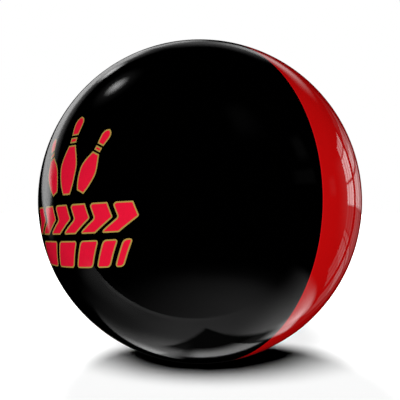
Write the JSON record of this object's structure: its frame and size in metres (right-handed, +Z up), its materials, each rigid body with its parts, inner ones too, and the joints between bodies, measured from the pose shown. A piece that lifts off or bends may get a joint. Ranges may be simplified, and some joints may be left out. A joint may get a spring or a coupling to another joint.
{
  "type": "bowling ball",
  "caption": "Undrilled bowling ball: clear cover over a black front and a red rear printed half shell, around a cast core and weight block.",
  "frame": {"origin": "centre of the ball", "axes": "+Z up through the locator pin above the weight block, -Y through the middle of the black front half, the seam of the two printed halves in the XZ plane"},
  "size_m": [0.217, 0.217, 0.217],
  "materials": {
    "clear_cover": "polished",
    "pin_plastic": "gloss",
    "mark_paint": "satin",
    "front_film": "gloss",
    "rear_film": "gloss",
    "core_filler": "matte",
    "block_filler": "satin"
  },
  "bodies": {
    "root": {"clear_coverstock": "clear_cover", "locator_pin": "pin_plastic", "centre_of_gravity_mark": "mark_paint", "front_printed_film": "front_film", "rear_printed_film": "rear_film", "inner_core": "core_filler", "core_pin": "pin_plastic", "weight_block": "block_filler"}
  },
  "joints": []
}
